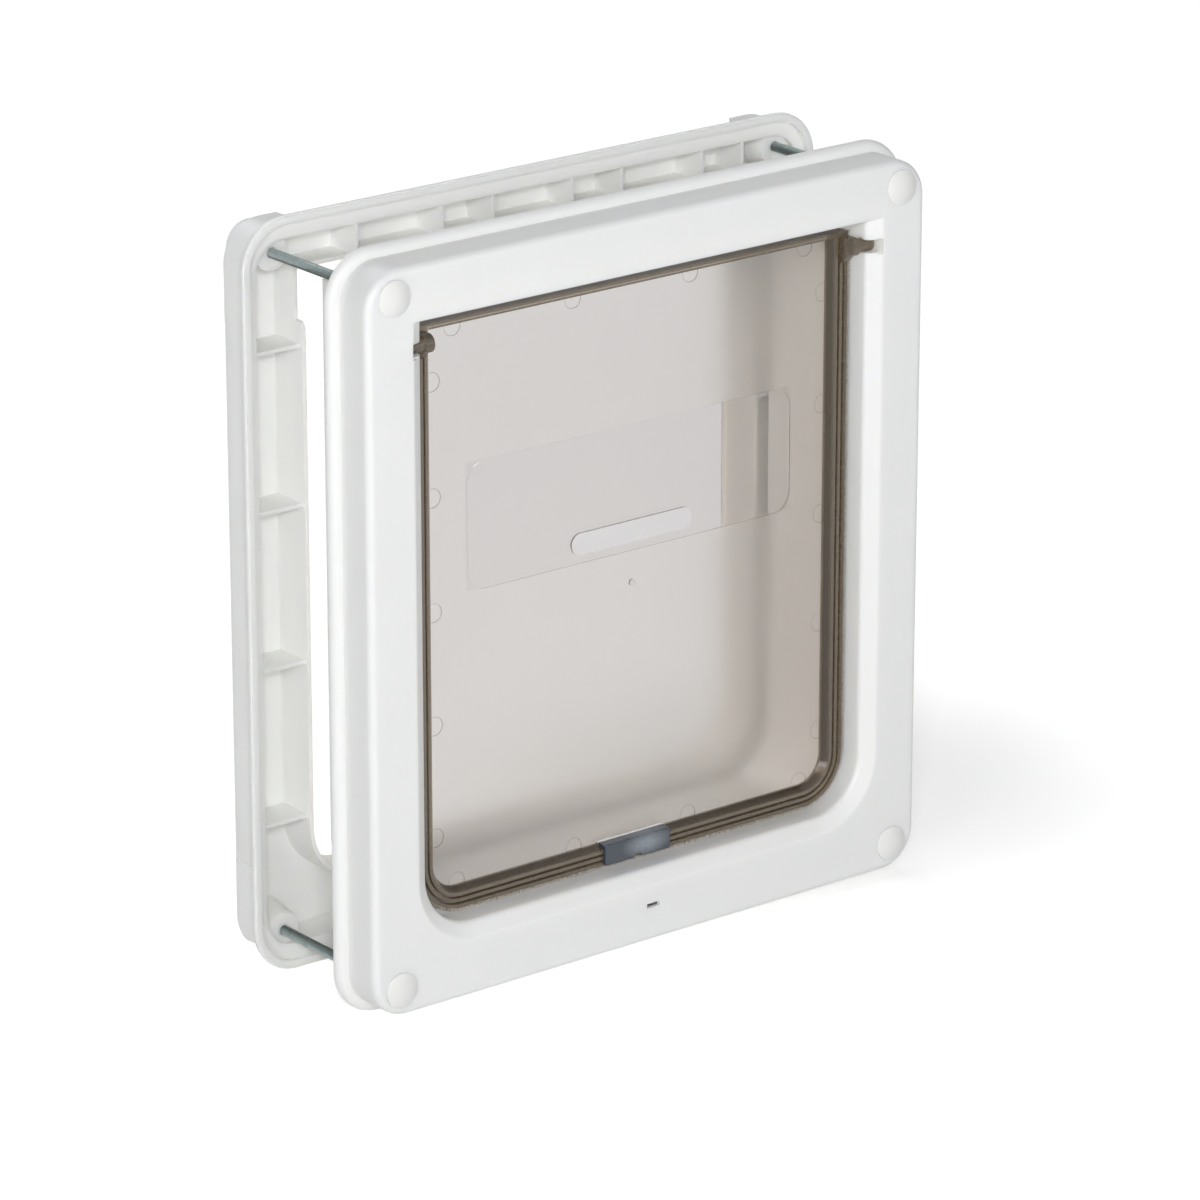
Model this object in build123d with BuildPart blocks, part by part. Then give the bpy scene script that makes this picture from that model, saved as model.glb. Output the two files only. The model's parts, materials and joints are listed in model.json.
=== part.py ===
"""Pet door for a door leaf: two moulded frames, four clamping screws and a swinging tinted flap.

The front face looks towards -Y, +X is to the right seen from the front, +Z is up. The origin is
under the middle of the assembly, on the plane that both flanges stand on.
"""

import os

from build123d import *

os.makedirs("parts", exist_ok=True)

# Frames: overall outline and the depth of one moulding
frame_width = 334.0
frame_height = 364.0
frame_depth = 26.0
frame_corner = 24.0
door_gap = 60.0
flange_thick = 5.5
flange_round = 4.0
face_inset = 5.0
face_round = 3.5
wall = 2.6

# Clamping rim: width of the land and the small shadow step round its edge
rim_width = 4.0
rim_step = 0.8

# Tunnel through the front frame, with a square head and a rounded sill, inside these face bars
side_bar = 37.5
sill_bar = 40.0
head_bar = 31.0
tunnel_corner = 27.0
sleeve_wall = 2.0
sleeve_length = 49.0

# Bevel that leads from the front face into the tunnel, on the sides and the sill
bevel_width = 7.0
bevel_depth = 4.5
bevel_round = 3.0

# Stiffening ribs in the hollow of both frames
rib_thick = 1.8
rib_drop = 4.0
side_rib_count = 4
side_rib_margin = 32.5
inner_rib_x = 23.2
middle_rib_x = 52.5
outer_rib_margin = 28.5
corner_rib_margin = 4.1

# Rear frame: waist between its corner pads, collar round the tunnel and screw bosses
side_waist = 1.0
end_waist = 4.0
pad_width = 34.5
pad_height = 52.0
collar_wall = 2.0
collar_drop = 2.0
collar_head_drop = 8.0
collar_horn_drop = 21.0
collar_horn_round = 4.0
slide_gap = 0.4
rear_boss_base = 24.0
rear_boss_draft = 10.5
rear_boss_drop = 6.0
rear_edge_round = 2.5

# Screws, their pockets in the front frame and the caps over them
screw_inset_x = 20.0
screw_inset_z = 18.0
screw_diameter = 4.8
screw_head_diameter = 9.2
screw_head_height = 3.4
screw_tip = 0.8
screw_end_cover = 8.0
bore_end_cover = 5.0
screw_gap = 0.25
thread_gap = 0.1
drive_size = 4.6
drive_blade = 1.0
drive_depth = 1.8
head_pocket_depth = 9.0
head_pocket_diameter = 13.0
front_boss_diameter = 18.0
cap_diameter = 16.8
cap_height = 3.0
cap_edge = 0.8
cap_wall = 1.2
cap_skirt_length = 4.5
cap_gap = 0.15

# Flap: pane, ridged rim and top rail
flap_gap = 0.6
pile_height = 2.8
pile_width = 5.0
pile_set = 1.0
pane_depth = 17.0
pane_thick = 3.0
rim_breadth = 9.8
rim_front = 3.5
rim_back = 2.0
ridge_width = 1.7
groove_width = 1.2
groove_depth = 1.4
groove_slope = 0.2
bead_width = 3.5
rail_height = 2.3
rail_rise = 4.0

# Pivots of the flap, which snap into slots in the tunnel's sides
pivot_drop = 13.8
pivot_depth = 8.5
pivot_radius = 3.5
pivot_clearance = 0.05
pivot_length = 6.5
pivot_end_gap = 0.8
pivot_round = 1.5
ear_radius = 4.4
ear_breadth = 4.5
ear_reach = 9.0
slot_throat = 6.2
slot_mouth = 7.4
slot_lead = 2.5

# Marks on the pane: clear window, plain lozenge, gate mark and ejector rounds
window_margin = 21.3
window_height = 61.0
window_corner = 10.0
window_sink = 0.3
window_drop = 94.7
lozenge_width = 71.0
lozenge_height = 10.5
lozenge_proud = 0.6
lozenge_drop = 21.0
gate_diameter = 3.2
gate_drop = 46.0
ejector_diameter = 9.0
ejector_sink = 0.15
ejector_edge = 2.0
ejector_margin = 26.0
ejector_side_count = 5
ejector_end_count = 4

# Magnetic catch: housing and magnet on the flap, magnet and clip under the sill
catch_width = 39.0
catch_height = 10.4
catch_front = 11.5
catch_round = 0.8
catch_wall = 1.5
catch_notch_width = 5.0
catch_notch_height = 2.0
catch_bridge = 1.6
magnet_gap = 0.15
seat_gap = 0.1
sill_magnet_width = 36.0
sill_magnet_depth = 12.0
magnet_chamfer = 0.4
clip_wall = 1.6
clip_stop = 5.0
clip_width = 40.0
face_slot_width = 7.7
face_slot_height = 2.2
face_slot_drop = 17.0
tongue_gap = 0.2
tongue_reach = 0.7

# Places along the depth, from the front of the caps to the back of the rear frame
overall_depth = cap_height + 2 * frame_depth + door_gap
face_y = cap_height - overall_depth / 2
front_clamp_y = face_y + frame_depth
rear_rim_y = front_clamp_y + door_gap
back_y = rear_rim_y + frame_depth
pivot_y = face_y + pivot_depth
pane_front_y = face_y + pane_depth
pane_back_y = pane_front_y + pane_thick

# Places across and up
middle_z = frame_height / 2
tunnel_width = frame_width - 2 * side_bar
tunnel_half = tunnel_width / 2
tunnel_sill = sill_bar
tunnel_head = frame_height - head_bar
tunnel_middle_z = (tunnel_head + tunnel_sill) / 2
pivot_z = tunnel_head - pivot_drop
lip_width = bevel_width + wall
lip_depth = bevel_depth + wall
collar_inner = sleeve_wall + slide_gap
collar_outer = collar_inner + collar_wall
rim_inset = flap_gap + pile_height
flap_half = tunnel_half - rim_inset
flap_sill = tunnel_sill + rim_inset
flap_corner = tunnel_corner - rim_inset
rail_bottom = pivot_z + rail_rise
flap_top = rail_bottom + rail_height
pane_half = flap_half - rim_breadth
pane_sill = flap_sill + rim_breadth
rim_front_y = pane_front_y - rim_front
rim_back_y = pane_back_y + rim_back
catch_front_y = face_y + catch_front
catch_top = flap_sill + catch_height
window_z = pivot_z - window_drop
lozenge_z = window_z - lozenge_drop
gate_z = window_z - gate_drop
spot_names = ["top_left", "bottom_left", "top_right", "bottom_right"]


def spread(low, high, count):
    """Evenly spaced places from low to high, both ends included."""
    return [low + (high - low) * step / (count - 1) for step in range(count)]


# Places that repeat: screws, ribs and ejector rounds
screw_x = frame_width / 2 - screw_inset_x
screw_z = (frame_height - screw_inset_z, screw_inset_z)
screw_spots = [(side * screw_x, z) for side in (-1, 1) for z in screw_z]
side_rib_z = spread(tunnel_sill + side_rib_margin, tunnel_head - side_rib_margin, side_rib_count)
outer_rib_x = tunnel_half - outer_rib_margin
end_rib_x = [side * x for side in (-1, 1) for x in (inner_rib_x, middle_rib_x, outer_rib_x)]
end_rib_x.append(tunnel_half - corner_rib_margin)
ejector_x = pane_half - ejector_edge
ejector_z = spread(pane_sill + ejector_margin, rail_bottom - ejector_margin, ejector_side_count)
ejector_spots = [(side * ejector_x, z) for side in (-1, 1) for z in ejector_z]
ejector_ends = (rail_bottom - ejector_edge, pane_sill + ejector_edge)
ejector_end_x = spread(flap_corner - flap_half, flap_half - flap_corner, ejector_end_count)
ejector_spots += [(x, z) for x in ejector_end_x for z in ejector_ends]


def plane_at(y):
    """Upright plane at depth y, its normal towards the front."""
    return Plane.XZ.offset(-y)


def frame_outline(inset_x, inset_z=None):
    """Rounded outline of a frame, drawn in from the flange's edge."""
    inset_z = inset_x if inset_z is None else inset_z
    with BuildSketch() as outline:
        with Locations((0, middle_z)):
            RectangleRounded(
                frame_width - 2 * inset_x,
                frame_height - 2 * inset_z,
                frame_corner - min(inset_x, inset_z),
            )
    return outline.sketch


def tunnel_section(grow=0.0):
    """Section of the tunnel, grown outwards: square head and rounded sill corners."""
    with BuildSketch() as section:
        with Locations((0, tunnel_middle_z)):
            Rectangle(tunnel_width + 2 * grow, tunnel_head - tunnel_sill + 2 * grow)
        fillet(section.vertices().group_by(Axis.Y)[0], tunnel_corner + grow)
    return section.sketch


def flap_outline(inset=0.0):
    """Outline of the flap's moulding, drawn in on the sides and the sill."""
    with BuildSketch() as outline:
        with Locations((0, (flap_top + flap_sill + inset) / 2)):
            Rectangle(2 * (flap_half - inset), flap_top - flap_sill - inset)
        fillet(outline.vertices().group_by(Axis.Y)[0], flap_corner - inset)
    return outline.sketch


def rib_section(outline, core_grow):
    """Side ribs and end ribs between a frame's outer wall and its tunnel."""
    with BuildSketch() as ribs:
        with Locations(*[(0, z) for z in side_rib_z]):
            Rectangle(frame_width, rib_thick)
        with Locations(*[(x, middle_z) for x in end_rib_x]):
            Rectangle(rib_thick, frame_height)
        add(outline, mode=Mode.INTERSECT)
        add(tunnel_section(core_grow), mode=Mode.SUBTRACT)
    return ribs.sketch


def sill_path(inset, y, top):
    """Path from the top down one side of the tunnel, along the sill and up the other side."""
    half = tunnel_half - inset
    low = tunnel_sill + inset
    with BuildLine(plane_at(y)) as path:
        FilletPolyline(
            (-half, top),
            (-half, low),
            (half, low),
            (half, top),
            radius=tunnel_corner - inset,
        )
    return path.line


def sill_profile_plane(inset, y, top):
    """Plane across the start of the sill path: local x into the tunnel, local y to the front."""
    return Plane(origin=(inset - tunnel_half, y, top), x_dir=(1, 0, 0), z_dir=(0, 0, -1))


# Front frame: flange, raised face, hollow back, tunnel sleeve, bevel, bosses and pivot slots
pivot_block_half = pivot_radius + wall
pivot_pocket = pivot_length + pivot_end_gap
with BuildPart() as front_frame:
    with BuildSketch(plane_at(front_clamp_y)):
        add(frame_outline(0))
    extrude(amount=flange_thick)
    fillet(front_frame.faces().sort_by(Axis.Y)[0].edges(), flange_round)
    with BuildSketch(plane_at(front_clamp_y)):
        add(frame_outline(face_inset))
    extrude(amount=frame_depth)
    fillet(front_frame.faces().sort_by(Axis.Y)[0].edges(), face_round)
    # Shadow step round the clamping rim
    with BuildSketch(plane_at(front_clamp_y)):
        add(frame_outline(0))
        add(frame_outline(rim_step), mode=Mode.SUBTRACT)
    extrude(amount=rim_step, mode=Mode.SUBTRACT)
    # Hollow: shallow under the flange, deep under the face, with a thick lip round the tunnel
    with BuildSketch(plane_at(front_clamp_y)):
        add(frame_outline(rim_width))
    extrude(amount=flange_thick - wall, mode=Mode.SUBTRACT)
    with BuildSketch(plane_at(front_clamp_y)):
        add(frame_outline(face_inset + wall))
        add(tunnel_section(lip_width), mode=Mode.SUBTRACT)
    extrude(amount=frame_depth - wall, mode=Mode.SUBTRACT)
    with BuildSketch(plane_at(front_clamp_y)):
        add(tunnel_section(lip_width))
    extrude(amount=frame_depth - lip_depth, mode=Mode.SUBTRACT)
    # Ribs and screw bosses stand on the back of the face
    with BuildSketch(plane_at(front_clamp_y - rib_drop)):
        add(rib_section(frame_outline(face_inset + wall / 2), sleeve_wall / 2))
    extrude(amount=frame_depth - rib_drop - wall / 2)
    with BuildSketch(plane_at(front_clamp_y)):
        with Locations(*screw_spots):
            Circle(front_boss_diameter / 2)
    extrude(amount=frame_depth - wall / 2)
    # Blocks that carry the pivots
    with BuildSketch(plane_at(pivot_y + pivot_block_half)):
        with Locations((0, pivot_z)):
            Rectangle(tunnel_width + 2 * (pivot_pocket + wall), 2 * pivot_block_half)
    extrude(amount=pivot_block_half + pivot_depth - wall / 2)
    # Sleeve that lines the door leaf, then the tunnel through everything
    with BuildSketch(plane_at(face_y + wall / 2)):
        add(tunnel_section(sleeve_wall))
    extrude(amount=wall / 2 - frame_depth - sleeve_length)
    with BuildSketch(plane_at(face_y)):
        add(tunnel_section())
    extrude(amount=-frame_depth - sleeve_length, mode=Mode.SUBTRACT)
    # Bevel round the sides and the sill of the opening
    with BuildSketch(sill_profile_plane(0, face_y, tunnel_head)):
        with BuildLine():
            lead_in = FilletPolyline(
                (-bevel_width - bevel_round, 0),
                (-bevel_width, 0),
                (0, -bevel_depth),
                (0, -bevel_depth - bevel_round),
                radius=bevel_round,
            )
            Polyline(lead_in @ 1, (wall, -bevel_depth - bevel_round), (wall, wall))
            Polyline((wall, wall), (-bevel_width - bevel_round, wall), lead_in @ 0)
        make_face()
    sweep(path=sill_path(0, face_y, tunnel_head), mode=Mode.SUBTRACT)
    # Snap slots for the pivots, open to the front
    for side_x in (-tunnel_half - pivot_pocket, tunnel_half - wall):
        with BuildSketch(Plane.YZ.offset(side_x)):
            with Locations((pivot_y, pivot_z)):
                Circle(pivot_radius + pivot_clearance)
            with Locations(((face_y + pivot_y) / 2, pivot_z)):
                Rectangle(pivot_depth, slot_throat)
            with Locations((face_y + slot_lead / 2, pivot_z)):
                Rectangle(slot_lead, slot_mouth)
        extrude(amount=pivot_pocket + wall, mode=Mode.SUBTRACT)
    # Screw pockets under the caps, and the catch clip's slot below the opening
    with BuildSketch(plane_at(face_y)):
        with Locations(*screw_spots):
            Circle(head_pocket_diameter / 2)
    extrude(amount=-head_pocket_depth, mode=Mode.SUBTRACT)
    with BuildSketch(plane_at(face_y)):
        with Locations(*screw_spots):
            Circle(screw_diameter / 2 + screw_gap)
    extrude(amount=-frame_depth, mode=Mode.SUBTRACT)
    with BuildSketch(plane_at(face_y)):
        with Locations((0, tunnel_sill - face_slot_drop)):
            Rectangle(face_slot_width, face_slot_height)
    extrude(amount=-wall, mode=Mode.SUBTRACT)
front_frame.part.label = "front_frame"
export_step(front_frame.part, "parts/front_frame.step")


# Rear frame: flange, waisted body with corner pads, ribbed hollow, collar and screw bosses
body_inset_x = face_inset + side_waist
body_inset_z = face_inset + end_waist
hollow_inset_x = body_inset_x + wall
hollow_inset_z = body_inset_z + wall
horn_z = tunnel_head - collar_horn_drop
collar_edge_y = rear_rim_y + collar_drop
with BuildPart() as rear_frame:
    with BuildSketch(plane_at(rear_rim_y)):
        add(frame_outline(0))
    extrude(amount=-flange_thick)
    fillet(rear_frame.faces().sort_by(Axis.Y)[-1].edges(), flange_round)
    with BuildSketch(plane_at(rear_rim_y)):
        add(frame_outline(body_inset_x, body_inset_z))
    extrude(amount=-frame_depth)
    fillet(rear_frame.faces().sort_by(Axis.Y)[-1].edges(), face_round)
    # Pads fill the corners out to the line of the front frame's raised face
    with BuildSketch(plane_at(rear_rim_y)):
        add(frame_outline(face_inset))
        with Locations((0, middle_z)):
            Rectangle(frame_width - 2 * pad_width, frame_height, mode=Mode.SUBTRACT)
            Rectangle(frame_width, frame_height - 2 * pad_height, mode=Mode.SUBTRACT)
    extrude(amount=face_round - frame_depth)
    # Shadow step round the clamping rim
    with BuildSketch(plane_at(rear_rim_y)):
        add(frame_outline(0))
        add(frame_outline(rim_step), mode=Mode.SUBTRACT)
    extrude(amount=-rim_step, mode=Mode.SUBTRACT)
    # Hollow round the collar
    with BuildSketch(plane_at(rear_rim_y)):
        add(frame_outline(rim_width))
        add(tunnel_section(collar_outer), mode=Mode.SUBTRACT)
    extrude(amount=wall - flange_thick, mode=Mode.SUBTRACT)
    with BuildSketch(plane_at(rear_rim_y)):
        add(frame_outline(hollow_inset_x, hollow_inset_z))
        add(tunnel_section(collar_outer), mode=Mode.SUBTRACT)
    extrude(amount=wall - frame_depth, mode=Mode.SUBTRACT)
    # Collar edge: set back from the rim, further back at the head, with rounded ends of its sides
    with BuildSketch(plane_at(rear_rim_y)):
        add(tunnel_section(collar_outer))
    extrude(amount=-collar_drop, mode=Mode.SUBTRACT)
    with BuildSketch(plane_at(rear_rim_y)):
        add(tunnel_section(collar_outer))
        with Locations((0, horn_z)):
            Rectangle(frame_width, frame_height, align=(Align.CENTER, Align.MAX), mode=Mode.SUBTRACT)
    extrude(amount=-collar_head_drop, mode=Mode.SUBTRACT)
    horn_edges = rear_frame.edges().filter_by(Axis.X).filter_by_position(
        Axis.Y, collar_edge_y - seat_gap, collar_edge_y + seat_gap
    )
    fillet(horn_edges.sort_by(Axis.Z)[-1], collar_horn_round)
    # Ribs and screw bosses stand on the back wall
    with BuildSketch(plane_at(rear_rim_y + rib_drop)):
        add(
            rib_section(
                frame_outline(hollow_inset_x - wall / 2, hollow_inset_z - wall / 2),
                collar_outer - collar_wall / 2,
            )
        )
    extrude(amount=rib_drop + wall / 2 - frame_depth)
    with BuildSketch(plane_at(back_y - wall / 2)):
        with Locations(*screw_spots):
            Circle(rear_boss_base / 2)
    extrude(amount=frame_depth - rear_boss_drop - wall / 2, taper=rear_boss_draft)
    # Tunnel through the collar, with a lip at the back that carries the line of the sleeve
    with BuildSketch(plane_at(rear_rim_y)):
        add(tunnel_section(collar_inner))
    extrude(amount=wall - frame_depth, mode=Mode.SUBTRACT)
    with BuildSketch(plane_at(rear_rim_y)):
        add(tunnel_section())
    extrude(amount=-frame_depth, mode=Mode.SUBTRACT)
    fillet(rear_frame.faces().sort_by(Axis.Y)[-1].inner_wires().edges(), rear_edge_round)
    # Blind bores that the screws cut their thread in
    with BuildSketch(plane_at(rear_rim_y)):
        with Locations(*screw_spots):
            Circle(screw_diameter / 2 + thread_gap)
    extrude(amount=bore_end_cover - frame_depth, mode=Mode.SUBTRACT)
rear_frame.part.label = "rear_frame"
export_step(rear_frame.part, "parts/rear_frame.step")


# Clamping screws: pan heads with a cross drive, seated in the front frame's pockets
head_seat_y = face_y + head_pocket_depth
screw_end_y = back_y - screw_end_cover
head_round = screw_head_height / 2
with BuildPart() as frame_screws:
    with BuildSketch(plane_at(head_seat_y)):
        with Locations(*screw_spots):
            Circle(screw_head_diameter / 2)
    extrude(amount=screw_head_height)
    fillet(frame_screws.faces().group_by(Axis.Y)[0].edges(), head_round)
    with BuildSketch(plane_at(head_seat_y)):
        with Locations(*screw_spots):
            Circle(screw_diameter / 2)
    extrude(amount=head_seat_y - screw_end_y)
    chamfer(frame_screws.faces().group_by(Axis.Y)[-1].edges(), screw_tip)
    with BuildSketch(plane_at(head_seat_y - screw_head_height)):
        with Locations(*screw_spots):
            Rectangle(drive_size, drive_blade)
            Rectangle(drive_blade, drive_size)
    extrude(amount=-drive_depth, mode=Mode.SUBTRACT)
frame_screws.part.label = "frame_screws"
export_step(frame_screws.part, "parts/frame_screws.step")


# Screw caps: domed buttons with a skirt that plugs into the screw pocket
skirt_radius = head_pocket_diameter / 2 - cap_gap
for spot_name, (spot_x, spot_z) in zip(spot_names, screw_spots):
    with BuildPart() as screw_cap:
        with BuildSketch(Plane(origin=(spot_x, face_y, spot_z), x_dir=(1, 0, 0), z_dir=(0, 0, 1))):
            with BuildLine():
                Polyline((0, -cap_height + cap_wall), (0, -cap_height))
                TangentArc((0, -cap_height), (cap_diameter / 2, -cap_edge), tangent=(1, 0))
                Polyline(
                    (cap_diameter / 2, -cap_edge),
                    (cap_diameter / 2, 0),
                    (skirt_radius, 0),
                    (skirt_radius, cap_skirt_length),
                    (skirt_radius - cap_wall, cap_skirt_length),
                    (skirt_radius - cap_wall, -cap_height + cap_wall),
                    (0, -cap_height + cap_wall),
                )
            make_face()
        revolve(axis=Axis((spot_x, face_y, spot_z), (0, 1, 0)))
    screw_cap.part.label = "screw_cap_" + spot_name
    export_step(screw_cap.part, "parts/screw_cap_" + spot_name + ".step")


# Flap: one tinted moulding with a ridged rim, top rail, pivots, window and marks
pane_front_f = pane_thick
rim_front_f = pane_thick + rim_front
groove_floor_f = rim_front_f - groove_depth
ridge_pitch = ridge_width + groove_width
ridge_end = 2 * ridge_pitch + ridge_width
bead_top = pivot_z - ear_reach
ear_x = flap_half - ear_breadth
with BuildPart() as flap:
    with BuildSketch(plane_at(pane_front_y)):
        add(flap_outline(rim_breadth / 2))
    extrude(amount=-pane_thick)
    # Window and ejector rounds sunk in the pane
    with BuildSketch(plane_at(pane_front_y)):
        with Locations((0, window_z)):
            RectangleRounded(2 * (pane_half - window_margin), window_height, window_corner)
    extrude(amount=-window_sink, mode=Mode.SUBTRACT)
    with BuildSketch(plane_at(pane_front_y)):
        with Locations(*ejector_spots):
            Circle(ejector_diameter / 2)
    extrude(amount=-ejector_sink, mode=Mode.SUBTRACT)
    # Rim: three parallel ridges and a slope down to the pane
    with BuildSketch(sill_profile_plane(rim_inset, pane_back_y, flap_top)):
        with BuildLine():
            Polyline(
                (0, 0),
                (0, rim_front_f),
                (ridge_width, rim_front_f),
                (ridge_width + groove_slope, groove_floor_f),
                (ridge_pitch - groove_slope, groove_floor_f),
                (ridge_pitch, rim_front_f),
                (ridge_pitch + ridge_width, rim_front_f),
                (ridge_pitch + ridge_width + groove_slope, groove_floor_f),
                (2 * ridge_pitch - groove_slope, groove_floor_f),
                (2 * ridge_pitch, rim_front_f),
                (ridge_end, rim_front_f),
                (rim_breadth, pane_front_f),
                (rim_breadth, 0),
                (0, 0),
            )
        make_face()
    sweep(path=sill_path(rim_inset, pane_back_y, flap_top))
    # Bead behind the rim, stopped below the pivots so that it clears the head as the flap swings
    with BuildSketch(sill_profile_plane(rim_inset, pane_back_y, bead_top)):
        with BuildLine():
            Polyline(
                (0, pane_thick / 2),
                (0, -rim_back),
                (bead_width - rim_back / 2, -rim_back),
                (bead_width, 0),
                (bead_width, pane_thick / 2),
                (0, pane_thick / 2),
            )
        make_face()
    sweep(path=sill_path(rim_inset, pane_back_y, bead_top))
    # Top rail
    with BuildSketch(plane_at(pane_back_y)):
        with Locations((0, flap_top)):
            Rectangle(2 * flap_half, rail_height, align=(Align.CENTER, Align.MAX))
    extrude(amount=pane_back_y - rim_front_y)
    # Ears and pivots
    for side in (-1, 1):
        with BuildSketch(Plane.YZ.offset(side * ear_x)):
            with Locations((pivot_y, pivot_z)):
                Circle(ear_radius)
            with BuildLine():
                Polyline(
                    (pivot_y, pivot_z + ear_radius),
                    (pane_front_y, pivot_z + ear_radius),
                    (pane_front_y, pivot_z - ear_reach),
                    (rim_front_y, pivot_z - ear_reach),
                    (pivot_y, pivot_z - ear_radius),
                    (pivot_y, pivot_z + ear_radius),
                )
            make_face()
        extrude(amount=side * ear_breadth)
        with BuildSketch(Plane.YZ.offset(side * ear_x)):
            with Locations((pivot_y, pivot_z)):
                Circle(pivot_radius)
        extrude(amount=side * (tunnel_half + pivot_length - ear_x))
    pivot_ends = flap.faces().sort_by(Axis.X)
    fillet(pivot_ends[0].edges() + pivot_ends[-1].edges(), pivot_round)
    # Notch through the rim for the catch, leaving a bridge at the sill
    with BuildSketch(plane_at(rim_front_y)):
        with Locations((0, flap_sill + catch_bridge)):
            Rectangle(catch_width, catch_height - catch_bridge, align=(Align.CENTER, Align.MIN))
    extrude(amount=rim_front_y - rim_back_y, mode=Mode.SUBTRACT)
    # Plain lozenge and gate mark, proud of the pane
    with BuildSketch(plane_at(pane_front_y + window_sink)):
        with Locations((0, lozenge_z)):
            SlotOverall(lozenge_width, lozenge_height)
    extrude(amount=window_sink + lozenge_proud)
    with BuildSketch(plane_at(pane_front_y)):
        with Locations((0, gate_z)):
            Circle(gate_diameter / 2)
    extrude(amount=lozenge_proud)
flap.part.label = "flap"
export_step(flap.part, "parts/flap.step")


# Pile seal: one strip bonded round the sides and the sill of the flap's rim
with BuildPart() as flap_pile:
    with BuildSketch(sill_profile_plane(rim_inset, pane_back_y, flap_top)):
        with Locations((0, pile_set)):
            Rectangle(pile_height, pile_width, align=(Align.MAX, Align.MIN))
    sweep(path=sill_path(rim_inset, pane_back_y, flap_top))
flap_pile.part.label = "flap_pile"
export_step(flap_pile.part, "parts/flap_pile.step")


# Catch housing: front plate over the rim, with a hollow body in the rim's notch
body_low = flap_sill + catch_bridge + seat_gap
body_high = catch_top - seat_gap
body_width = catch_width - 2 * seat_gap
plate_back_y = rim_front_y - seat_gap
with BuildPart() as catch_housing:
    with BuildSketch(plane_at(plate_back_y)):
        with Locations((0, flap_sill)):
            Rectangle(catch_width, catch_height, align=(Align.CENTER, Align.MIN))
    extrude(amount=plate_back_y - catch_front_y)
    fillet(catch_housing.edges().filter_by(Axis.Y), catch_round)
    fillet(catch_housing.faces().sort_by(Axis.Y)[0].edges(), catch_round)
    with BuildSketch(plane_at(plate_back_y)):
        with Locations((0, body_low)):
            Rectangle(body_width, body_high - body_low, align=(Align.CENTER, Align.MIN))
    extrude(amount=plate_back_y - pane_back_y)
    with BuildSketch(plane_at(plate_back_y)):
        with Locations((0, (body_low + body_high) / 2)):
            Rectangle(body_width - 2 * catch_wall, body_high - body_low - 2 * catch_wall)
    extrude(amount=plate_back_y - pane_back_y, mode=Mode.SUBTRACT)
    with BuildSketch(plane_at(catch_front_y)):
        with Locations((0, flap_sill)):
            SlotOverall(catch_notch_width, 2 * catch_notch_height)
    extrude(amount=catch_front_y - plate_back_y, mode=Mode.SUBTRACT)
catch_housing.part.label = "catch_housing"
export_step(catch_housing.part, "parts/catch_housing.step")


# Catch magnet: bar in the hollow of the catch housing
with BuildPart() as catch_magnet:
    with BuildSketch(plane_at(plate_back_y)):
        with Locations((0, (body_low + body_high) / 2)):
            Rectangle(
                body_width - 2 * (catch_wall + magnet_gap),
                body_high - body_low - 2 * (catch_wall + magnet_gap),
            )
    extrude(amount=plate_back_y - pane_back_y + catch_wall)
    chamfer(catch_magnet.edges(), magnet_chamfer)
catch_magnet.part.label = "catch_magnet"
export_step(catch_magnet.part, "parts/catch_magnet.step")


# Sill magnet: bar under the tunnel's floor, between the lip and the clip
sill_magnet_top = tunnel_sill - sleeve_wall - magnet_gap
sill_magnet_bottom = tunnel_sill - lip_width - seat_gap
sill_magnet_front_y = face_y + lip_depth + magnet_gap
with BuildPart() as sill_magnet:
    with BuildSketch(plane_at(sill_magnet_front_y)):
        with Locations((0, sill_magnet_bottom)):
            Rectangle(
                sill_magnet_width,
                sill_magnet_top - sill_magnet_bottom,
                align=(Align.CENTER, Align.MIN),
            )
    extrude(amount=-sill_magnet_depth)
    chamfer(sill_magnet.edges(), magnet_chamfer)
sill_magnet.part.label = "sill_magnet"
export_step(sill_magnet.part, "parts/sill_magnet.step")


# Sill magnet clip: shelf under the magnet, back stop, and a leg with a tongue in the face slot
clip_front_y = face_y + wall + seat_gap
clip_back_y = sill_magnet_front_y + sill_magnet_depth + magnet_gap
tongue_z = tunnel_sill - face_slot_drop
with BuildPart() as sill_magnet_clip:
    with BuildSketch(Plane.YZ.offset(-clip_width / 2)):
        with BuildLine():
            Polyline(
                (clip_front_y, sill_magnet_bottom),
                (clip_back_y, sill_magnet_bottom),
                (clip_back_y, sill_magnet_bottom + clip_stop),
                (clip_back_y + clip_wall, sill_magnet_bottom + clip_stop),
                (clip_back_y + clip_wall, sill_magnet_bottom - clip_wall),
                (clip_front_y + clip_wall, sill_magnet_bottom - clip_wall),
                (clip_front_y + clip_wall, tongue_z - face_slot_height),
                (clip_front_y, tongue_z - face_slot_height),
                (clip_front_y, sill_magnet_bottom),
            )
        make_face()
    extrude(amount=clip_width)
    with BuildSketch(plane_at(clip_front_y + clip_wall / 2)):
        with Locations((0, tongue_z)):
            Rectangle(face_slot_width - 2 * tongue_gap, face_slot_height - 2 * tongue_gap)
    extrude(amount=clip_wall / 2 + seat_gap + tongue_reach)
sill_magnet_clip.part.label = "sill_magnet_clip"
export_step(sill_magnet_clip.part, "parts/sill_magnet_clip.step")
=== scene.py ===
"""Pet door: finishes, threads, pile seal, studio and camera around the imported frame.

Everything is in metres, in the row frame: the front face looks towards -Y, +X is to the right
seen from the front and +Z is up.
"""

from __future__ import annotations

import json
import logging
import math
import random
from collections.abc import Sequence
from dataclasses import dataclass, field
from enum import Enum

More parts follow.
